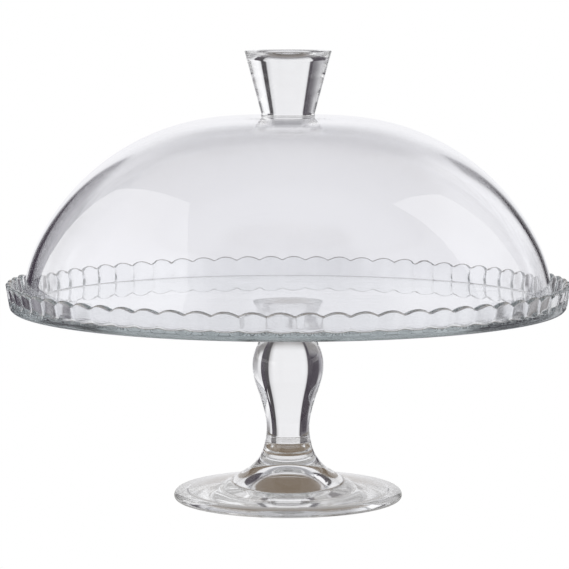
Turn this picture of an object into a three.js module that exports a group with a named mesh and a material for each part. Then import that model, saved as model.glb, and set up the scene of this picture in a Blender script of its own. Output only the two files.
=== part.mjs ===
// Footed glass cake stand with a lift-off glass dome.
// Millimetres, +Z up. The origin is the centre of the foot's rest ring, on the table.
// Every piece is a body of revolution about the Z axis; only the plate's rim is scalloped.
// A scallop's tip points along -Y, the front.
import * as THREE from "three";

// ---------------------------------------------------------------- driving dimensions

// Serving plate: a flat pressed-glass plate with an upright scalloped rim.
const PLATE = {
  underside: 110, // height of its flat underside above the table
  floor: 114.5, // height of the surface that the cake stands on
  tip: 125.8, // height of a scallop's tip
  tipRadius: 161, // outer radius at the scallops' tips
  baseRadius: 159.2, // outer radius just above the rounded bottom edge
  bottomEdge: 3.2, // radius of the rounded bottom edge
  rimWall: 3.6, // thickness of the upright rim
  rimEdge: 1.6, // rounding of the rim's upper edges
  floorFillet: 0.8, // fillet between the floor and the rim
};
const SCALLOP = {
  count: 68,
  depth: 2.1, // how far the notch between two scallops drops below their tips
  outerBulge: 1.5, // how far a scallop's middle stands out from its edges, outside
  innerBulge: 0.9, // the same inside, where the flutes are shallower
  start: 113.2, // height at which the outside flutes begin
  full: 117.2, // height at which they reach their full depth
};

// Dome: flat crown, one shoulder arc and one side arc, tangent to each other.
const DOME = {
  crown: 219.7, // height of the flat crown
  crownRadius: 28, // radius of the flat crown
  shoulderRadius: 128,
  shoulderTurn: 63.4, // degrees that the shoulder arc turns through
  sideRadius: 83,
  wall: 3.5,
  rimEdge: 1.1, // rounding of the rim's two lower edges
};

// Solid tapered knob on the crown, with a dish ground into its top.
const KNOB = {
  top: 257, // overall height of the object
  topRadius: 24.7,
  footRadius: 15.4,
  footHeight: 1.6, // the short upright band above the crown
  topBevel: 0.7,
  dishRadius: 21,
  dishDepth: 4.5,
};

// Stem: solid baluster between the plate and the foot, as heights and radii.
const STEM_OUTLINE = [
  { z: 33.2, r: 13.0 },
  { z: 40.5, r: 12.3 },
  { z: 48.5, r: 13.2 },
  { z: 57.5, r: 15.7 },
  { z: 66.5, r: 18.7 },
  { z: 76.4, r: 20.5 },
  { z: 84.5, r: 19.3 },
  { z: 91, r: 16.9 },
  { z: 97.5, r: 15.9 },
  { z: 104, r: 17.3 },
  { z: 109.8, r: 20 },
];

// Foot: a gently sloping disc with a rounded edge, which runs up into a flared neck.
const FOOT = {
  radius: 65.6,
  edgeLow: 1.8, // radius of the rounded edge below its widest circle
  edgeHigh: 3.4, // and above it
  discSlope: 8.5, // degrees
  creaseRadius: 12, // fillet between the disc and the neck
  neckSlope: 30, // degrees, where the neck runs into that fillet
  neckRadius: 24,
  neckCentre: { r: 37, z: 36.4 },
  neckTop: 33, // height of the flat face that the stem is bonded to
  restRingInner: 58,
  ringChamfer: 1.35, // width of the slope from the rest ring up into the hollow
  hollowDepth: 0.9, // of the shallow hollow inside the rest ring
  bellRadius: 29, // bell-shaped hollow under the neck
  bellTop: 15,
};

// Cured clear adhesive between the solid pieces.
const BOND_THICKNESS = 0.2;
const BOND_INSET = 0.4; // how far the adhesive stays inside the smaller face

// Fineness of the round stretches.
const DOME_SEGMENTS = 72;
const FOOT_SEGMENTS = 48;
const STEM_SEGMENTS = 36;
const STEPS_PER_SCALLOP = 4;

// ---------------------------------------------------------------- outline helpers

const radians = THREE.MathUtils.degToRad;
const point = (r, z) => new THREE.Vector2(r, z);

// Points of an arc in the outline's plane; angles in degrees from +r towards +z.
function arc(centreR, centreZ, radius, fromDegrees, toDegrees, steps) {
  const points = [];
  for (let step = 0; step <= steps; step += 1) {
    const angle = radians(THREE.MathUtils.lerp(fromDegrees, toDegrees, step / steps));
    points.push(point(centreR + radius * Math.cos(angle), centreZ + radius * Math.sin(angle)));
  }
  return points;
}

// Solid of revolution about +Z. The outline starts and ends on the axis and runs
// anticlockwise: out along the bottom, up the outside and back along the top.
function revolve(outline, segments) {
  return new THREE.LatheGeometry(outline, segments).rotateX(Math.PI / 2);
}

function glass(color, opacity) {
  return new THREE.MeshStandardMaterial({
    color,
    roughness: 0.04,
    metalness: 0,
    transparent: true,
    opacity,
  });
}

// ---------------------------------------------------------------- serving plate

function plateOutline() {
  const { underside, floor, tip, tipRadius, baseRadius, bottomEdge, rimWall } = PLATE;
  const { rimEdge, floorFillet } = PLATE;
  const bottomArc = arc(baseRadius - bottomEdge, underside + bottomEdge, bottomEdge, -90, 0, 2);
  const rimTop = tip - rimEdge;
  const innerFloor = baseRadius - rimWall;
  return [
    point(0, underside),
    ...bottomArc,
    point(THREE.MathUtils.lerp(baseRadius, tipRadius, 0.5), (SCALLOP.start + rimTop) / 2),
    ...arc(tipRadius - rimEdge, rimTop, rimEdge, 0, 90, 2),
    ...arc(tipRadius - rimWall + rimEdge, rimTop, rimEdge, 90, 180, 2),
    point(THREE.MathUtils.lerp(innerFloor, tipRadius - rimWall, 0.5), floor + 2 * floorFillet),
    ...arc(innerFloor - floorFillet, floor + floorFillet, floorFillet, 0, -90, 2),
    point(0, floor),
  ];
}

// Lowers the rim between the scallops' tips, more the higher up, and draws it in there.
function scallop(geometry) {
  const position = geometry.attributes.position;
  const pitch = (2 * Math.PI) / SCALLOP.count;
  const rimStart = PLATE.baseRadius - PLATE.rimWall - 1.5 * PLATE.floorFillet;
  const innerMiddle = PLATE.tipRadius - PLATE.rimWall / 2;
  for (let index = 0; index < position.count; index += 1) {
    const x = position.getX(index);
    const y = position.getY(index);
    const z = position.getZ(index);
    const radius = Math.hypot(x, y);
    const turns = Math.atan2(x, -y) / pitch;
    const across = (2 * (turns - Math.round(turns))) ** 2; // 0 at a tip, 1 at a notch
    const isInside = z >= PLATE.floor && radius < innerMiddle;
    const drawIn = isInside
      ? SCALLOP.innerBulge
      : SCALLOP.outerBulge * THREE.MathUtils.smoothstep(z, SCALLOP.start, SCALLOP.full);
    const droop = SCALLOP.depth * THREE.MathUtils.smoothstep(z, PLATE.floor, PLATE.tip);
    if (radius > rimStart) {
      const scale = (radius - across * drawIn) / radius;
      position.setXYZ(index, x * scale, y * scale, z - across * droop);
    }
  }
  return geometry;
}

function servingPlate() {
  const segments = SCALLOP.count * STEPS_PER_SCALLOP;
  return scallop(revolve(plateOutline(), segments));
}

// ---------------------------------------------------------------- dome and knob

// One surface of the dome, from its rim up to the axis, `inset` inside the outer one.
function domeSurface(inset, rimHeight) {
  const { crown, crownRadius, shoulderRadius, shoulderTurn, sideRadius } = DOME;
  const turn = radians(shoulderTurn);
  const shoulderZ = crown - shoulderRadius;
  const sideR = crownRadius + (shoulderRadius - sideRadius) * Math.sin(turn);
  const sideZ = shoulderZ + (shoulderRadius - sideRadius) * Math.cos(turn);
  const rimAngle = THREE.MathUtils.radToDeg(Math.asin((rimHeight - sideZ) / (sideRadius - inset)));
  return [
    ...arc(sideR, sideZ, sideRadius - inset, rimAngle, 90 - shoulderTurn, 4),
    ...arc(crownRadius, shoulderZ, shoulderRadius - inset, 90 - shoulderTurn, 90, 7).slice(1),
    point(0, crown - inset),
  ];
}

function domeShell() {
  const { wall, rimEdge } = DOME;
  const rimHeight = PLATE.floor + rimEdge;
  const outer = domeSurface(0, rimHeight);
  const inner = domeSurface(wall, rimHeight).reverse();
  const outerEdge = outer[0].x - rimEdge;
  const innerEdge = inner.at(-1).x + rimEdge;
  const outline = [
    ...inner,
    ...arc(innerEdge, rimHeight, rimEdge, 180, 270, 2).slice(1),
    ...arc(outerEdge, rimHeight, rimEdge, 270, 360, 2).slice(0, -1),
    ...outer,
  ];
  return revolve(outline, DOME_SEGMENTS);
}

function knob() {
  const { top, topRadius, footRadius, footHeight, topBevel, dishRadius, dishDepth } = KNOB;
  const foot = DOME.crown + BOND_THICKNESS;
  const dishCurve = (dishRadius ** 2 + dishDepth ** 2) / (2 * dishDepth);
  const dishAngle = THREE.MathUtils.radToDeg(Math.asin(dishRadius / dishCurve));
  const dish = arc(0, top - dishDepth + dishCurve, dishCurve, dishAngle - 90, -90, 5);
  const outline = [
    point(0, foot),
    point(footRadius, foot),
    point(footRadius, foot + footHeight),
    point(topRadius, top - topBevel),
    point(topRadius - topBevel, top),
    ...dish.slice(0, -1),
    point(0, top - dishDepth),
  ];
  return revolve(outline, STEM_SEGMENTS);
}

// ---------------------------------------------------------------- stem and foot

function stem() {
  const curve = new THREE.SplineCurve(STEM_OUTLINE.map(({ r, z }) => point(r, z)));
  const outline = [
    point(0, STEM_OUTLINE[0].z),
    ...curve.getPoints(20),
    point(0, STEM_OUTLINE.at(-1).z),
  ];
  return revolve(outline, STEM_SEGMENTS);
}

// Centre of the fillet that is tangent to the foot's disc and to its neck.
function creaseCentre() {
  const { radius, edgeLow, edgeHigh, creaseRadius, neckRadius, neckCentre } = FOOT;
  const disc = radians(FOOT.discSlope);
  const neck = radians(FOOT.neckSlope);
  const discR = radius - edgeHigh * (1 - Math.sin(disc));
  const discZ = edgeLow + edgeHigh * Math.cos(disc);
  const neckR = neckCentre.r - neckRadius * Math.sin(neck);
  const neckZ = neckCentre.z - neckRadius * Math.cos(neck);
  const discSide = discR * Math.sin(disc) + discZ * Math.cos(disc) + creaseRadius;
  const neckSide = neckR * Math.sin(neck) + neckZ * Math.cos(neck) + creaseRadius;
  const span = Math.sin(neck - disc);
  return {
    r: (neckSide * Math.cos(disc) - discSide * Math.cos(neck)) / span,
    z: (discSide * Math.sin(neck) - neckSide * Math.sin(disc)) / span,
  };
}

// Underside of the foot inside the rest ring, from the axis out.
function bellHollow() {
  const { hollowDepth, bellRadius, bellTop } = FOOT;
  const steps = 7;
  const points = [point(0, bellTop)];
  for (let step = 1; step <= steps; step += 1) {
    const turn = (Math.PI / 2) * (step / steps);
    const rise = (bellTop - hollowDepth) * Math.cos(turn) ** 4;
    points.push(point(bellRadius * Math.sin(turn), hollowDepth + rise));
  }
  return points;
}

function foot() {
  const { radius, edgeLow, edgeHigh, discSlope, creaseRadius, neckSlope } = FOOT;
  const { neckRadius, neckCentre, neckTop, restRingInner, ringChamfer, hollowDepth } = FOOT;
  const crease = creaseCentre();
  const neckAngle = THREE.MathUtils.radToDeg(Math.asin((neckCentre.z - neckTop) / neckRadius));
  const outline = [
    ...bellHollow(),
    point(restRingInner - ringChamfer, hollowDepth),
    point(restRingInner, 0),
    ...arc(radius - edgeLow, edgeLow, edgeLow, -90, 0, 3),
    ...arc(radius - edgeHigh, edgeLow, edgeHigh, 0, 90 - discSlope, 4).slice(1),
    ...arc(crease.r, crease.z, creaseRadius, 270 - discSlope, 270 - neckSlope, 2),
    ...arc(neckCentre.r, neckCentre.z, neckRadius, 270 - neckSlope, 180 + neckAngle, 6),
    point(0, neckTop),
  ];
  return revolve(outline, FOOT_SEGMENTS);
}

// Thin disc of adhesive standing on a face at the given height.
function bond(faceRadius, height) {
  const radius = faceRadius - BOND_INSET;
  const disc = new THREE.CylinderGeometry(radius, radius, BOND_THICKNESS, STEM_SEGMENTS);
  return disc.rotateX(Math.PI / 2).translate(0, 0, height + BOND_THICKNESS / 2);
}

// ---------------------------------------------------------------- assembly

const clearGlass = { dome: 0xe9eaee, plate: 0xdfe6e8, solid: 0xe4e1dc };
const stemFoot = STEM_OUTLINE[0];
const stemTop = STEM_OUTLINE.at(-1);

const standPieces = [
  ["foot", foot(), glass(clearGlass.solid, 0.4)],
  ["foot_bond", bond(stemFoot.r, FOOT.neckTop), glass(clearGlass.solid, 0.6)],
  ["stem", stem(), glass(clearGlass.solid, 0.4)],
  ["stem_bond", bond(stemTop.r, stemTop.z), glass(clearGlass.solid, 0.6)],
  ["serving_plate", servingPlate(), glass(clearGlass.plate, 0.35)],
];
const domePieces = [
  ["dome_shell", domeShell(), glass(clearGlass.dome, 0.25)],
  ["knob_bond", bond(KNOB.footRadius, DOME.crown), glass(clearGlass.solid, 0.6)],
  ["dome_knob", knob(), glass(clearGlass.solid, 0.4)],
];

function assemble(pieces) {
  const group = new THREE.Group();
  for (const [name, geometry, material] of pieces) {
    const mesh = new THREE.Mesh(geometry, material);
    mesh.name = name;
    group.add(mesh);
  }
  return group;
}

const cakeStand = new THREE.Group();
cakeStand.add(assemble(standPieces), assemble(domePieces));

export default cakeStand;
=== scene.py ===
import math

import bmesh
import bpy
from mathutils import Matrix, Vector, noise


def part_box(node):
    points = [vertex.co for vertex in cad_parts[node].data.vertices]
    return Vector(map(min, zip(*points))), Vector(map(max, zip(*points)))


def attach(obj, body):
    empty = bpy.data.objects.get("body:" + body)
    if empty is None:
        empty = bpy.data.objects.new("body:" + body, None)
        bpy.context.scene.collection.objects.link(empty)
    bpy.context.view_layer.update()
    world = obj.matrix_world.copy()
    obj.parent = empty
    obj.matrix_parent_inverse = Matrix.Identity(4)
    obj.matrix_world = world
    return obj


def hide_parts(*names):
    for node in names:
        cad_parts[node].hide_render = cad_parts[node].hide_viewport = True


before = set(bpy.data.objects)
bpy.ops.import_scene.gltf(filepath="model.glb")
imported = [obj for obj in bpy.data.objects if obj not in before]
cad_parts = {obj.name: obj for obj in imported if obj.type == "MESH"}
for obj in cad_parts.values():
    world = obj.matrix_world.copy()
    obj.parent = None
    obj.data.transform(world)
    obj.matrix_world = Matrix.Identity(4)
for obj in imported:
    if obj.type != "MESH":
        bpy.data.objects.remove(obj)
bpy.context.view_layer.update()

# A footed glass cake stand with a lift-off glass dome: eight smooth glass pieces built to
# the frame's boxes, on a white floor in a soft studio. Metres, +Z up, -Y in front.

MM = 0.001
foot_low, foot_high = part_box("foot")
stem_low, stem_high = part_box("stem")
plate_low, plate_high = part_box("serving_plate")
dome_low, dome_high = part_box("dome_shell")
knob_low, knob_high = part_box("dome_knob")

# ------------------------------------------------------------------ outline helpers

TINY = 1e-7  # a length below this counts as none
SAME_POINT = 1e-6  # points of an outline nearer than this are merged
LAP = 0.05 * MM  # bonded pieces reach this far into each other, so light passes as in one block
FILM_GAP = 0.03 * MM  # adhesive film's distance from each of the two faces that it joins


def arc(centre_r, centre_z, radius, start, end, step):
    """Points about every step of an arc in the outline's plane. start, end and step are in
    degrees, from +r towards +z."""
    count = max(2, math.ceil(abs(end - start) / step))
    points = []
    for index in range(count + 1):
        angle = math.radians(start + (end - start) * index / count)
        points.append((centre_r + radius * math.cos(angle), centre_z + radius * math.sin(angle)))
    return points


def line(start, end, spacing=2.0 * MM, edge=0.25 * MM):
    """Points strictly between start and end: one close to each end, which keeps the
    shading of the straight run flat, and the rest evenly spaced."""
    (r0, z0), (r1, z1) = start, end
    length = math.hypot(r1 - r0, z1 - z0)
    if length < 3 * edge:
        return []
    stations = [edge]
    count = max(1, round(length / spacing))
    stations += [length * index / count for index in range(1, count)]
    stations.append(length - edge)
    stations = [s for s in stations if edge <= s <= length - edge]
    return [(r0 + (r1 - r0) * s / length, z0 + (z1 - z0) * s / length) for s in stations]


def joined(*runs, spacing=2.0 * MM):
    """One outline out of arcs and single points, with straight runs filled in."""
    outline = []
    for run in runs:
        run = list(run)
        if outline:
            outline += line(outline[-1], run[0], spacing)
        outline += run
    pairs = zip(outline, outline[1:])
    return outline[:1] + [point for before, point in pairs if math.dist(before, point) > SAME_POINT]


def curvatures(heights, values):
    """Second derivatives at the knots of a natural cubic spline, by the Thomas algorithm."""
    count = len(heights)
    gaps = [b - a for a, b in zip(heights, heights[1:])]
    slopes = [(b - a) / gap for a, b, gap in zip(values, values[1:], gaps)]
    upper, right = [0.0], [0.0]
    for index in range(1, count - 1):
        below, above = gaps[index - 1], gaps[index]
        pivot = 2 * (below + above) - below * upper[-1]
        right.append((6 * (slopes[index] - slopes[index - 1]) - below * right[-1]) / pivot)
        upper.append(above / pivot)
    bends = [0.0] * count
    for index in range(count - 2, 0, -1):
        bends[index] = right[index] - upper[index] * bends[index + 1]
    return bends


def spline(knots, spacing):
    """Points every spacing along the natural cubic curve through (z, r) knots, as (r, z):
    its curvature runs on smoothly, so reflections in it have no kinks."""
    heights, radii = zip(*knots)
    bends = curvatures(heights, radii)
    points = []
    for index in range(len(knots) - 1):
        z0, z1 = heights[index : index + 2]
        r0, r1 = radii[index : index + 2]
        b0, b1 = bends[index : index + 2]
        gap = z1 - z0
        count = max(1, round(gap / spacing))
        for step in range(count):
            z = z0 + gap * step / count
            up, down = z - z0, z1 - z
            r = (b0 * down**3 + b1 * up**3) / (6 * gap)
            r += (r0 / gap - b0 * gap / 6) * down + (r1 / gap - b1 * gap / 6) * up
            points.append((r, z))
    return [*points, (radii[-1], heights[-1])]


def smoothstep(low, high, value):
    t = min(1.0, max(0.0, (value - low) / (high - low)))
    return t * t * (3 - 2 * t)


# ------------------------------------------------------------------ solids of revolution


def revolve(name, outline, segments, shape=None):
    """Closed smooth solid about the Z axis. The outline starts and ends on the axis and
    runs anticlockwise. shape(r, z, angle) may move each point to another (r, z)."""
    verts, rings = [], []
    for r, z in outline:
        steps = 1 if r < TINY else segments
        rings.append((len(verts), steps))
        for step in range(steps):
            angle = 2 * math.pi * step / segments
            rr, zz = shape(r, z, angle) if shape else (r, z)
            if steps == 1:
                rr = 0.0
            verts.append((rr * math.sin(angle), -rr * math.cos(angle), zz))
    faces = []
    for (low, low_steps), (high, high_steps) in zip(rings, rings[1:]):
        for step in range(segments):
            after = (step + 1) % segments
            if low_steps == 1:
                faces.append((low, high + after, high + step))
            elif high_steps == 1:
                faces.append((low + step, low + after, high))
            else:
                faces.append((low + step, low + after, high + after, high + step))
    mesh = bpy.data.meshes.new(name)
    mesh.from_pydata(verts, [], faces)
    mesh.shade_smooth()
    mesh.update()
    piece = bpy.data.objects.new(name, mesh)
    bpy.context.scene.collection.objects.link(piece)
    return piece


def ripple(r, z, angle, size, height, seed):
    """Gentle unevenness of pressed glass: a height in metres at that place."""
    place = Vector((r * math.sin(angle), r * math.cos(angle), z)) / size
    return height * noise.noise(place + Vector((seed, 2 * seed, 3 * seed)))


# ------------------------------------------------------------------ serving plate

SCALLOPS = 68
SCALLOP_STEPS = 18
SCALLOP_DEPTH = 2.1 * MM
OUTER_BULGE = 1.5 * MM  # how far a scallop's middle stands out from its edges, outside
INNER_BULGE = 0.9 * MM  # the same inside, where the flutes are shallower
FLUTE_START = 3.2 * MM  # above the plate's underside, outside
FLUTE_RUN = 4 * MM  # height over which an outside flute reaches its full depth
FLUTE_BLEND = 8 * MM  # how far the inside flutes draw the floor's surface with them
FLOOR_THICKNESS = 4.5 * MM
RIM_WALL = 3.6 * MM
RIM_ROUND = 1.6 * MM
RIM_LEAN = 1.8 * MM  # how far the rim leans out from its foot to its tips
BOTTOM_EDGE = 3.2 * MM
FLOOR_FILLET = 0.8 * MM
CUSP_ROUND = 0.06  # rounding of the notch, as a share of half a scallop
FLAT_RADIUS = 145 * MM  # radius of the plate's plain middle
FLAT_SPACING = 8 * MM  # spacing of the points on it
PLATE_WAVE_SIZE, PLATE_WAVE_HEIGHT = 38 * MM, 0.05 * MM  # unevenness of its faces
PLATE_SEED = 3


def serving_plate():
    under, tip = plate_low.z, plate_high.z
    tip_r = plate_high.x
    base_r = tip_r - RIM_LEAN
    floor = under + FLOOR_THICKNESS
    rim_z = tip - RIM_ROUND
    inner_r = base_r - RIM_WALL
    inner_tip = tip_r - RIM_WALL
    outline = joined(
        [(0.0, under)],
        arc(base_r - BOTTOM_EDGE, under + BOTTOM_EDGE, BOTTOM_EDGE, -90, 0, 7.5),
        arc(tip_r - RIM_ROUND, rim_z, RIM_ROUND, 0, 90, 15),
        arc(inner_tip + RIM_ROUND, rim_z, RIM_ROUND, 90, 180, 15),
        arc(inner_r - FLOOR_FILLET, floor + FLOOR_FILLET, FLOOR_FILLET, 0, -90, 7.5),
        [(0.0, floor)],
        spacing=1.2 * MM,
    )
    pitch = 2 * math.pi / SCALLOPS
    flute_z = under + FLUTE_START
    fillet_r = inner_r - FLOOR_FILLET

    def shape(r, z, angle):
        turns = angle / pitch
        off = abs(2 * (turns - round(turns)))
        near = 1 - off
        across = 1 - (math.hypot(near, CUSP_ROUND) - CUSP_ROUND * (1 - near))
        lean = RIM_LEAN * max(0, z - floor) / (tip - floor)
        outside = smoothstep(inner_r + lean, base_r + lean, r) if z > floor - TINY else 1
        inner = INNER_BULGE * smoothstep(fillet_r - FLUTE_BLEND, fillet_r, r)
        outer = OUTER_BULGE * smoothstep(flute_z, flute_z + FLUTE_RUN, z)
        wave = 0
        if r < fillet_r:
            wave = ripple(r, z, angle, PLATE_WAVE_SIZE, PLATE_WAVE_HEIGHT, PLATE_SEED)
        r -= across**2 * (inner + (outer - inner) * outside)
        z -= across**2 * SCALLOP_DEPTH * smoothstep(floor, tip, z)
        return r, z + wave

    return revolve("plate_glass", thin_flats(outline), SCALLOPS * SCALLOP_STEPS, shape)


def thin_flats(outline):
    """Drops most of the points on a long flat run towards the axis."""
    kept = [outline[0]]
    for point in outline[1:-1]:
        level = abs(point[1] - kept[-1][1]) < TINY
        close = abs(point[0] - kept[-1][0]) < FLAT_SPACING
        if not (level and close and point[0] < FLAT_RADIUS):
            kept.append(point)
    return [*kept, outline[-1]]


# ------------------------------------------------------------------ dome and knob

DOME_WALL = 3.5 * MM
CROWN_RADIUS = 28 * MM
SHOULDER_RADIUS = 128 * MM
SHOULDER_TURN = 63.4
SIDE_RADIUS = 83 * MM
DOME_RIM_ROUND = 1.1 * MM
DOME_SEGMENTS = 288
DOME_WAVE_SIZE, DOME_WAVE_HEIGHT = 60 * MM, 0.16 * MM  # unevenness of the dome's wall
DOME_WAVE_RISE = 20 * MM  # height above the rim over which it sets in
DOME_WAVE_NEAR, DOME_WAVE_FAR = 30 * MM, 60 * MM  # radii between which it dies out
DOME_SEED = 5


def dome_surface(inset, rim_z):
    """One surface of the dome from its rim to its crown, inset from the outer one."""
    crown = dome_high.z
    turn = math.radians(SHOULDER_TURN)
    shoulder_z = crown - SHOULDER_RADIUS
    side_r = CROWN_RADIUS + (SHOULDER_RADIUS - SIDE_RADIUS) * math.sin(turn)
    side_z = shoulder_z + (SHOULDER_RADIUS - SIDE_RADIUS) * math.cos(turn)
    rim_angle = math.degrees(math.asin((rim_z - side_z) / (SIDE_RADIUS - inset)))
    meet = 90 - SHOULDER_TURN
    side = arc(side_r, side_z, SIDE_RADIUS - inset, rim_angle, meet, 1.5)
    shoulder = arc(CROWN_RADIUS, shoulder_z, SHOULDER_RADIUS - inset, meet, 90, 1.5)
    return side + shoulder[1:]


def dome():
    rim_z = dome_low.z + DOME_RIM_ROUND
    outer = dome_surface(0, rim_z)
    inner = dome_surface(DOME_WALL, rim_z)[::-1]
    outer_r, inner_r = outer[0][0], inner[-1][0]
    outline = joined(
        [(0.0, dome_high.z - DOME_WALL)],
        inner,
        arc(inner_r + DOME_RIM_ROUND, rim_z, DOME_RIM_ROUND, 180, 270, 12)[1:],
        arc(outer_r - DOME_RIM_ROUND, rim_z, DOME_RIM_ROUND, 270, 360, 12)[:-1],
        outer,
        [(0.0, dome_high.z)],
    )

    def shape(r, z, angle):
        push = ripple(r, z, angle, DOME_WAVE_SIZE, DOME_WAVE_HEIGHT, DOME_SEED)
        fade = smoothstep(0, DOME_WAVE_RISE, z - dome_low.z)
        fade *= smoothstep(DOME_WAVE_NEAR, DOME_WAVE_FAR, r)
        return r + push * fade, z

    return revolve("dome_glass", outline, DOME_SEGMENTS, shape)


KNOB_FOOT_RADIUS = 15.4 * MM
KNOB_FOOT_HEIGHT = 1.6 * MM  # the short upright band above the crown
KNOB_FOOT_EDGE = 0.4 * MM
KNOB_FOOT_BLEND = 3 * MM  # radius with which that band turns into the taper
KNOB_BEVEL = 0.7 * MM
DISH_RADIUS = 21 * MM
DISH_DEPTH = 4.5 * MM
DISH_STEPS = 24
KNOB_SEGMENTS = 160


def dish_outline(top_z):
    """The knob's dished top, from its rim in to the axis."""
    curve = (DISH_RADIUS**2 + DISH_DEPTH**2) / (2 * DISH_DEPTH)
    points = []
    for step in range(DISH_STEPS + 1):
        r = DISH_RADIUS * (1 - step / DISH_STEPS)
        points.append((r, top_z - DISH_DEPTH + curve - math.sqrt(curve**2 - r**2)))
    return points


def knob():
    foot_z, top_z = dome_high.z - LAP, knob_high.z
    top_r = knob_high.x
    lean = math.degrees(math.atan2(top_r - KNOB_FOOT_RADIUS, top_z - foot_z - KNOB_FOOT_HEIGHT))
    outline = joined(
        [(0.0, foot_z)],
        arc(KNOB_FOOT_RADIUS - KNOB_FOOT_EDGE, foot_z + KNOB_FOOT_EDGE, KNOB_FOOT_EDGE, -90, 0, 15),
        arc(
            KNOB_FOOT_RADIUS + KNOB_FOOT_BLEND,
            foot_z + KNOB_FOOT_HEIGHT,
            KNOB_FOOT_BLEND,
            180,
            180 - lean,
            3,
        ),
        arc(top_r - KNOB_BEVEL, top_z - KNOB_BEVEL, KNOB_BEVEL, -lean, 90, 12),
        dish_outline(top_z),
    )
    return revolve("knob_glass", outline, KNOB_SEGMENTS)


# ------------------------------------------------------------------ stem and foot

# Stem outline as heights and radii in millimetres, from the foot to the plate.
STEM_KNOTS = [
    (33.2, 13.0),
    (40.5, 12.3),
    (48.5, 13.2),
    (57.5, 15.7),
    (66.5, 18.7),
    (76.4, 20.5),
    (84.5, 19.3),
    (91.0, 16.9),
    (97.5, 15.9),
    (104.0, 17.3),
    (109.8, 20.0),
]
STEM_SPACING = 0.7 * MM
STEM_SEGMENTS = 160


def stem():
    curve = spline([(z * MM, r * MM) for z, r in STEM_KNOTS], STEM_SPACING)
    top_z = plate_low.z + LAP
    outline = joined([(0.0, stem_low.z)], curve, [(curve[-1][0], top_z), (0.0, top_z)])
    return revolve("stem_glass", outline, STEM_SEGMENTS)


FOOT_EDGE_LOW = 1.8 * MM  # radius of the rounded edge below its widest circle
FOOT_EDGE_HIGH = 3.4 * MM  # and above it
DISC_SLOPE = 8.5  # degrees
NECK_RADIUS = 24 * MM
NECK_R = 37.0 * MM  # centre of the neck's arc
NECK_Z = 36.4 * MM
NECK_SLOPE = 30.0  # degrees, where the neck runs into the fillet above the disc
CREASE_RADIUS = 12 * MM  # radius of that fillet
REST_RING_INNER = 58 * MM
REST_RING_EDGE = 0.8 * MM
HOLLOW_DEPTH = 0.9 * MM  # of the shallow hollow inside the rest ring
HOLLOW_CHAMFER = 1.5  # width of the slope up into that hollow, in its depths
BELL_RADIUS = 29 * MM  # bell-shaped hollow under the neck
BELL_TOP = 15 * MM
BELL_POWER = 4  # how much narrower than a dome the bell is
BELL_STEP = 3  # degrees of its outline's turn between two points
FOOT_SEGMENTS = 224


def crease_centre():
    """Centre of the arc that is tangent to the disc's slope and to the neck's."""
    disc, neck = math.radians(DISC_SLOPE), math.radians(NECK_SLOPE)
    disc_r = foot_high.x - FOOT_EDGE_HIGH * (1 - math.sin(disc))
    disc_z = FOOT_EDGE_LOW + FOOT_EDGE_HIGH * math.cos(disc)
    neck_r = NECK_R - NECK_RADIUS * math.sin(neck)
    neck_z = NECK_Z - NECK_RADIUS * math.cos(neck)
    disc_side = disc_r * math.sin(disc) + disc_z * math.cos(disc) + CREASE_RADIUS
    neck_side = neck_r * math.sin(neck) + neck_z * math.cos(neck) + CREASE_RADIUS
    span = math.sin(neck - disc)
    r = (neck_side * math.cos(disc) - disc_side * math.cos(neck)) / span
    z = (disc_side * math.sin(neck) - neck_side * math.sin(disc)) / span
    return r, z


def bell_outline():
    """Outline of the bell-shaped hollow under the neck, from the axis out."""
    points = [(0.0, BELL_TOP)]
    for degrees in range(BELL_STEP, 91, BELL_STEP):
        turn = math.radians(degrees)
        lift = (BELL_TOP - HOLLOW_DEPTH) * math.cos(turn) ** BELL_POWER
        points.append((BELL_RADIUS * math.sin(turn), HOLLOW_DEPTH + lift))
    return points


def foot():
    widest = foot_high.x
    crease_r, crease_z = crease_centre()
    neck_top = stem_low.z + LAP
    neck_angle = math.degrees(math.asin((NECK_Z - neck_top) / NECK_RADIUS))
    outline = joined(
        bell_outline(),
        [(REST_RING_INNER - HOLLOW_CHAMFER * HOLLOW_DEPTH, HOLLOW_DEPTH)],
        arc(REST_RING_INNER, REST_RING_EDGE, REST_RING_EDGE, 225, 270, 15),
        arc(widest - FOOT_EDGE_LOW, FOOT_EDGE_LOW, FOOT_EDGE_LOW, -90, 0, 10),
        arc(widest - FOOT_EDGE_HIGH, FOOT_EDGE_LOW, FOOT_EDGE_HIGH, 0, 90 - DISC_SLOPE, 8)[1:],
        arc(crease_r, crease_z, CREASE_RADIUS, 270 - DISC_SLOPE, 270 - NECK_SLOPE, 2),
        arc(NECK_R, NECK_Z, NECK_RADIUS, 270 - NECK_SLOPE, 180 + neck_angle, 3),
        [(0.0, neck_top)],
    )
    return revolve("foot_glass", outline, FOOT_SEGMENTS)


FILM_SEGMENTS = 96


def bond(name, node):
    """A thin adhesive film with a rounded edge, just clear of the faces that it joins."""
    low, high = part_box(node)
    bottom, top = low.z + FILM_GAP, high.z - FILM_GAP
    edge = (top - bottom) / 2
    outline = joined(
        [(0.0, bottom)],
        arc(high.x - edge, bottom + edge, edge, -90, 90, 22.5),
        [(0.0, top)],
    )
    return revolve(name, outline, FILM_SEGMENTS)


# ------------------------------------------------------------------ materials


def link(tree, start, end):
    tree.links.new(start, end)


def math_node(tree, operation, *values):
    node = tree.nodes.new("ShaderNodeMath")
    node.operation = operation
    for socket, value in zip(node.inputs, values):
        link(tree, value, socket)
    return node.outputs["Value"]


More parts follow.
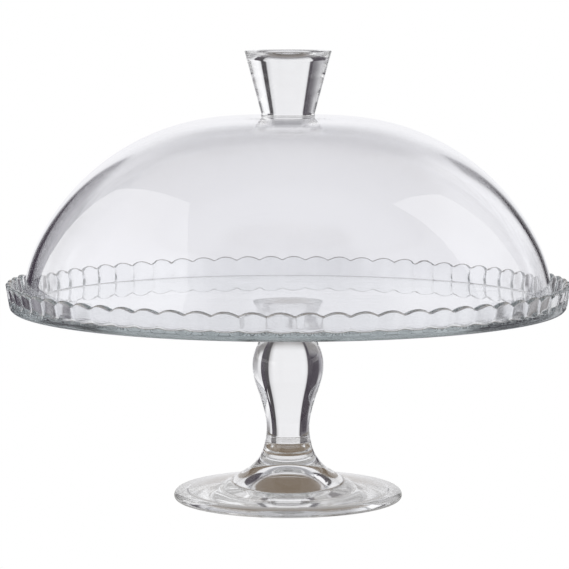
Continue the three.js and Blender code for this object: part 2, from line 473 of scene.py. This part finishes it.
def map_range(tree, value, from_low, from_high, to_low=0.0, to_high=1.0, smooth=False):
    node = tree.nodes.new("ShaderNodeMapRange")
    if smooth:
        node.interpolation_type = "SMOOTHSTEP"
    node.inputs["From Min"].default_value = from_low
    node.inputs["From Max"].default_value = from_high
    node.inputs["To Min"].default_value = to_low
    node.inputs["To Max"].default_value = to_high
    link(tree, value, node.inputs["Value"])
    return node.outputs["Result"]


def clouds(tree, place, scale, detail):
    node = tree.nodes.new("ShaderNodeTexNoise")
    node.inputs["Scale"].default_value = scale
    node.inputs["Detail"].default_value = detail
    link(tree, place, node.inputs["Vector"])
    return node.outputs["Fac"]


TINT_SCALE = 22  # clouds per metre in the tint and the haze
HAZE_START, HAZE_FULL = 0.45, 0.85  # cloud values between which the haze sets in
HAZE = 0.02  # its greatest roughness
WEAR_HAZE = 0.04  # extra roughness of the worn glass near the table
WEAR_LOW, WEAR_HIGH = 9 * MM, 16 * MM  # heights between which it fades
GLASS_IOR = 1.52


def glass(name, tint, shade, absorb, density, wave_size, wave_height, ior=GLASS_IOR):
    """Clear glass: faint tint and haze that vary over the surface, a gentle waviness,
    and colour in its depth. tint and shade are the surface's two near-white colours."""
    material = bpy.data.materials.new(name)
    material.use_nodes = True
    tree = material.node_tree
    shader = tree.nodes["Principled BSDF"]
    shader.inputs["Transmission Weight"].default_value = 1
    shader.inputs["IOR"].default_value = ior
    place = tree.nodes.new("ShaderNodeTexCoord").outputs["Object"]

    cloud = clouds(tree, place, TINT_SCALE, 4)
    colours = tree.nodes.new("ShaderNodeMix")
    colours.data_type = "RGBA"
    colours.inputs["A"].default_value = (*tint, 1)
    colours.inputs["B"].default_value = (*shade, 1)
    link(tree, cloud, colours.inputs["Factor"])
    link(tree, colours.outputs["Result"], shader.inputs["Base Color"])

    split = tree.nodes.new("ShaderNodeSeparateXYZ")
    link(tree, place, split.inputs["Vector"])
    haze = map_range(tree, cloud, HAZE_START, HAZE_FULL, 0.0, HAZE)
    wear = map_range(tree, split.outputs["Z"], WEAR_LOW, WEAR_HIGH, WEAR_HAZE, 0.0)
    link(tree, math_node(tree, "ADD", haze, wear), shader.inputs["Roughness"])

    bump = tree.nodes.new("ShaderNodeBump")
    bump.inputs["Strength"].default_value = 1
    bump.inputs["Distance"].default_value = wave_height
    link(tree, clouds(tree, place, 1 / wave_size, 1), bump.inputs["Height"])
    link(tree, bump.outputs["Normal"], shader.inputs["Normal"])

    depth = tree.nodes.new("ShaderNodeVolumeAbsorption")
    depth.inputs["Color"].default_value = (*absorb, 1)
    depth.inputs["Density"].default_value = density
    link(tree, depth.outputs["Volume"], tree.nodes["Material Output"].inputs["Volume"])
    return material


# What glass() takes for each slot. The bond is matched to the glass that it joins, so it
# bends no light and shows only by its colour.
GLASSES = {
    "dome_glass": {
        "tint": (0.97, 0.97, 0.98),
        "shade": (0.95, 0.95, 0.965),
        "absorb": (0.80, 0.82, 0.90),
        "density": 3.0,
        "wave_size": 45 * MM,
        "wave_height": 0.04 * MM,
    },
    "plate_glass": {
        "tint": (0.975, 0.98, 0.985),
        "shade": (0.955, 0.965, 0.97),
        "absorb": (0.55, 0.60, 0.61),
        "density": 6.0,
        "wave_size": 24 * MM,
        "wave_height": 0.03 * MM,
    },
    "solid_glass": {
        "tint": (0.98, 0.98, 0.98),
        "shade": (0.96, 0.96, 0.965),
        "absorb": (0.78, 0.79, 0.77),
        "density": 2.5,
        "wave_size": 20 * MM,
        "wave_height": 0.02 * MM,
    },
    "clear_bond": {
        "tint": (0.99, 0.99, 0.985),
        "shade": (0.97, 0.97, 0.96),
        "absorb": (0.9, 0.88, 0.84),
        "density": 2.0,
        "wave_size": 12 * MM,
        "wave_height": 0.01 * MM,
        "ior": 1.0,
    },
}


def dress(piece, body, slot, material, *nodes):
    piece.data.materials.append(material)
    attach(piece, body)
    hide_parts(*nodes)


# ------------------------------------------------------------------ studio

SHELL_RADIUS = 1.3
SHELL_SEGMENTS = 128
SHELL_CENTRE = 0.15  # its height above the table
SHELL_TONE = (0.60, 0.60, 0.62)

# Panels painted over each other on the studio's shell, in order: azimuth from and to in
# degrees from +Y towards +X, elevation from and to, edge softness, and colour. An azimuth
# beyond 180 has no edge there.
PANELS = {
    "side_low": (-400, 400, -45, -6, 9, (0.46, 0.45, 0.46)),
    "low": (-400, 400, -90, -38, 9, (0.32, 0.28, 0.25)),
    "nadir": (-400, 400, -90, -52, 10, (0.13, 0.11, 0.09)),
    "overhead": (-400, 400, 56, 90, 8, (0.62, 0.62, 0.64)),
    "back_low": (-62, 62, -44, -16, 6, (0.26, 0.25, 0.25)),
    "left_low": (-70, -30, -24, 2, 6, (0.28, 0.27, 0.30)),
    "back_top": (-30, 30, 34, 58, 6, (0.42, 0.42, 0.44)),
    "backdrop": (-26, 20, -30, 28, 6, (0.93, 0.93, 0.95)),
    "right_wall": (31, 90, 2, 42, 7, (1.10, 1.10, 1.12)),
    "right_near": (31, 46, -26, 8, 4, (0.84, 0.84, 0.86)),
    "right_slot": (22, 30, -40, 25, 1.2, (0.05, 0.045, 0.05)),
    "left_dark": (-52, -28, -22, 24, 4, (0.05, 0.04, 0.055)),
    "left_slot": (-30, -25, -40, 24, 1.2, (0.05, 0.04, 0.055)),
    "left_softbox": (-136, -73, -14, 42, 9, (0.92, 0.92, 0.94)),
    "right_softbox": (96, 134, -24, 26, 9, (1.10, 1.10, 1.10)),
    "front_left": (-166, -149, -60, 28, 4, (0.20, 0.20, 0.21)),
    "front_top_left": (-400, -140, 30, 60, 9, (0.30, 0.30, 0.31)),
    "front_top_right": (140, 400, 30, 60, 6, (0.18, 0.18, 0.19)),
}


def panel_band(tree, value, low, high, soft):
    """1 where value lies between low and high, falling to 0 over soft at each edge."""
    rise = map_range(tree, value, low - soft, low + soft, smooth=True)
    fall = map_range(tree, value, high - soft, high + soft, 1, 0, smooth=True)
    return math_node(tree, "MULTIPLY", rise, fall)


def mixed(tree, factor, before, tone):
    """The colour before, turning into tone with factor. before is a socket or a tone."""
    mix = tree.nodes.new("ShaderNodeMix")
    mix.data_type = "RGBA"
    link(tree, factor, mix.inputs["Factor"])
    if isinstance(before, tuple):
        mix.inputs["A"].default_value = (*before, 1)
    else:
        link(tree, before, mix.inputs["A"])
    mix.inputs["B"].default_value = (*tone, 1)
    return mix.outputs["Result"]


def emitter(name, tone=(1, 1, 1)):
    """A material that only glows, its tree and its glow's colour socket."""
    material = bpy.data.materials.new(name)
    material.use_nodes = True
    tree = material.node_tree
    tree.nodes.remove(tree.nodes["Principled BSDF"])
    glow = tree.nodes.new("ShaderNodeEmission")
    link(tree, glow.outputs["Emission"], tree.nodes["Material Output"].inputs["Surface"])
    glow.inputs["Color"].default_value = (*tone, 1)
    material.cycles.emission_sampling = "NONE"
    return material, tree, glow.inputs["Color"]


def shell_material():
    material, tree, colour_in = emitter("studio_shell")
    split = tree.nodes.new("ShaderNodeSeparateXYZ")
    outward = tree.nodes.new("ShaderNodeVectorMath")
    outward.operation = "NORMALIZE"
    link(tree, tree.nodes.new("ShaderNodeTexCoord").outputs["Object"], outward.inputs["Vector"])
    link(tree, outward.outputs["Vector"], split.inputs["Vector"])
    x, y, z = (split.outputs[axis] for axis in "XYZ")
    azimuth = math_node(tree, "DEGREES", math_node(tree, "ARCTAN2", x, y))
    elevation = math_node(tree, "DEGREES", math_node(tree, "ARCSINE", z))

    colour = SHELL_TONE
    for name, (az_low, az_high, el_low, el_high, soft, tone) in PANELS.items():
        across = panel_band(tree, azimuth, az_low, az_high, soft)
        up = panel_band(tree, elevation, el_low, el_high, soft)
        colour = mixed(tree, math_node(tree, "MULTIPLY", across, up), colour, tone)
        colour.node.name = name
    link(tree, colour, colour_in)
    return material


# Dark cards beside the stand, as their two ends on plan and the height of their lower edge:
# they draw the dark edges of the dome and the stem.
CARDS = {
    "card_left": ((-0.600, 1.150), (-0.360, 0.480), -0.06),
    "card_right": ((0.617, 1.142), (0.405, 0.557), -0.55),
}
CARD_HIGH = 0.35
CARD_TONE = (0.05, 0.04, 0.055)

# Bright windows that the dome mirrors, as the azimuth and elevation of their corners. They
# are kept out of what is seen through the glass.
WINDOWS = {
    "window_left": [
        (-50, 0),
        (-50, 35),
        (-70, 48),
        (-96, 60),
        (-117, 52),
        (-131, 40),
        (-139, 21),
        (-139, 0),
    ],
    "window_right": [(60, 0), (60, 44), (75, 54), (90, 58), (92, 40), (94, 20), (94, 0)],
}
WINDOW_DISTANCE = 1.2
WINDOW_TONE = (1.8, 1.8, 1.8)

FLOOR_SIZE = 6.0
TABLE_GAP = 0.4 * MM  # the foot's height over the table and the floor
TABLE_SEGMENTS = 96
TABLE_RADIUS = 0.12
TABLE_SHADOWED_BROWN = (0.20, 0.155, 0.11)  # the table under the foot: brown, darkened by painted contact shadow
# Tones further out, each with the radii between which the table turns into it: a lighter ring round
# the foot, then darker painted shade under the plate.
TABLE_SHADE_RINGS = [
    (0.042, 0.060, (0.40, 0.39, 0.38)),
    (0.085, 0.120, (0.15, 0.13, 0.11)),
]


# A glow with painted shade: brown contact shadow in the middle, lighter further out, darker again
# under the plate.
def table_shadow_material():
    material, tree, colour_in = emitter("table_painted_shade")
    distance = tree.nodes.new("ShaderNodeVectorMath")
    distance.operation = "LENGTH"
    link(tree, tree.nodes.new("ShaderNodeTexCoord").outputs["Object"], distance.inputs["Vector"])
    colour = TABLE_SHADOWED_BROWN
    for near, far, tone in TABLE_SHADE_RINGS:
        ring = map_range(tree, distance.outputs["Value"], near, far, smooth=True)
        colour = mixed(tree, ring, colour, tone)
    link(tree, colour, colour_in)
    return material


def stage_piece(name, mesh, material, seen_by_camera):
    """A piece of the studio that only the camera sees, or only the glass."""
    piece = bpy.data.objects.new(name, mesh)
    bpy.context.scene.collection.objects.link(piece)
    mesh.materials.append(material)
    piece.visible_camera = seen_by_camera
    piece.visible_diffuse = piece.visible_glossy = not seen_by_camera
    piece.visible_transmission = piece.visible_shadow = not seen_by_camera
    return piece


def polygon(name, corners):
    mesh = bpy.data.meshes.new(name)
    mesh.from_pydata(corners, [], [tuple(range(len(corners)))])
    return mesh


def finished(name, shape):
    """A mesh out of a bmesh, which is freed."""
    mesh = bpy.data.meshes.new(name)
    shape.to_mesh(mesh)
    shape.free()
    return mesh


def on_shell(azimuth, elevation):
    """A window's corner in the given direction from the shell's centre, in degrees."""
    around, above = math.radians(azimuth), math.radians(elevation)
    reach = WINDOW_DISTANCE * math.cos(above)
    height = SHELL_CENTRE + WINDOW_DISTANCE * math.sin(above)
    return (reach * math.sin(around), reach * math.cos(around), height)


def add_shell():
    """The sphere of soft panels round everything, seen only by the glass."""
    ball = bmesh.new()
    bmesh.ops.create_uvsphere(
        ball, u_segments=SHELL_SEGMENTS, v_segments=SHELL_SEGMENTS // 2, radius=SHELL_RADIUS
    )
    mesh = finished("studio_shell", ball)
    shell = stage_piece("studio_shell", mesh, shell_material(), False)
    shell.location.z = SHELL_CENTRE


def add_cards():
    dark, _, _ = emitter("card_dark", CARD_TONE)
    for name, (far, near, low) in CARDS.items():
        corners = [(*far, low), (*near, low), (*near, CARD_HIGH), (*far, CARD_HIGH)]
        stage_piece(name, polygon(name, corners), dark, False)


def add_windows():
    bright, _, _ = emitter("window_bright", WINDOW_TONE)
    for name, directions in WINDOWS.items():
        corners = [on_shell(azimuth, elevation) for azimuth, elevation in directions]
        window = stage_piece(name, polygon(name, corners), bright, False)
        window.visible_transmission = False


def add_table():
    """The dark disc that the glass sees under the foot. It glows with painted shade: a brown
    contact shadow under the foot, a lighter ring, then shade under the plate.
    """
    disc = bmesh.new()
    bmesh.ops.create_circle(disc, cap_ends=True, segments=TABLE_SEGMENTS, radius=TABLE_RADIUS)
    table = stage_piece("table", finished("table", disc), table_shadow_material(), False)
    table.location.z = foot_low.z - TABLE_GAP


def add_floor():
    """The white floor, seen only by the camera."""
    half, z = FLOOR_SIZE / 2, foot_low.z - TABLE_GAP
    corners = [(-half, -half, z), (half, -half, z), (half, half, z), (-half, half, z)]
    white, _, _ = emitter("floor_white")
    stage_piece("floor", polygon("floor", corners), white, True)


def add_world():
    """The white background, seen only by the camera."""
    world = bpy.data.worlds.new("white")
    world.use_nodes = True
    world.node_tree.nodes["Background"].inputs["Color"].default_value = (1, 1, 1, 1)
    world.cycles.sampling_method = "NONE"
    bpy.context.scene.world = world


# ------------------------------------------------------------------ camera

CAMERA_DISTANCE = 1.580
CAMERA_HEIGHT = 0.2906
CAMERA_PITCH = 6.04  # degrees below level
CAMERA_TURN = 1.35  # degrees round the stand from straight in front, towards +X
CAMERA_SENSOR = 36  # sensor's width and focal length in millimetres
CAMERA_LENS = 175.6
CAMERA_SHIFT = 0.0062  # share of the picture's width by which the stand sits right of centre


def camera():
    data = bpy.data.cameras.new("camera")
    data.sensor_width = CAMERA_SENSOR
    data.lens = CAMERA_LENS
    data.shift_x = -CAMERA_SHIFT
    data.clip_start = 0.05
    data.clip_end = 50
    piece = bpy.data.objects.new("camera", data)
    turn = math.radians(CAMERA_TURN)
    piece.location = (
        CAMERA_DISTANCE * math.sin(turn),
        -CAMERA_DISTANCE * math.cos(turn),
        CAMERA_HEIGHT,
    )
    piece.rotation_euler = (math.radians(90 - CAMERA_PITCH), 0, turn)
    bpy.context.scene.collection.objects.link(piece)
    bpy.context.scene.camera = piece


LIGHT_BOUNCES = 96  # enough for light caught in the glass


def render_quality():
    scene = bpy.context.scene
    scene.view_settings.view_transform = "Standard"
    scene.view_settings.look = "None"
    scene.cycles.max_bounces = LIGHT_BOUNCES
    scene.cycles.transmission_bounces = LIGHT_BOUNCES
    scene.cycles.glossy_bounces = LIGHT_BOUNCES
    scene.cycles.transparent_max_bounces = 32
    scene.cycles.use_denoising = True


# ------------------------------------------------------------------ assembly

camera()
add_shell()
add_cards()
add_windows()
add_table()
add_floor()
add_world()
render_quality()

materials = {name: glass(name, **look) for name, look in GLASSES.items()}
dress(foot(), "stand", "solid_glass", materials["solid_glass"], "foot")
dress(bond("foot_film", "foot_bond"), "stand", "clear_bond", materials["clear_bond"], "foot_bond")
dress(stem(), "stand", "solid_glass", materials["solid_glass"], "stem")
dress(bond("stem_film", "stem_bond"), "stand", "clear_bond", materials["clear_bond"], "stem_bond")
dress(serving_plate(), "stand", "plate_glass", materials["plate_glass"], "serving_plate")
dress(dome(), "dome", "dome_glass", materials["dome_glass"], "dome_shell")
dress(bond("knob_film", "knob_bond"), "dome", "clear_bond", materials["clear_bond"], "knob_bond")
dress(knob(), "dome", "solid_glass", materials["solid_glass"], "dome_knob")
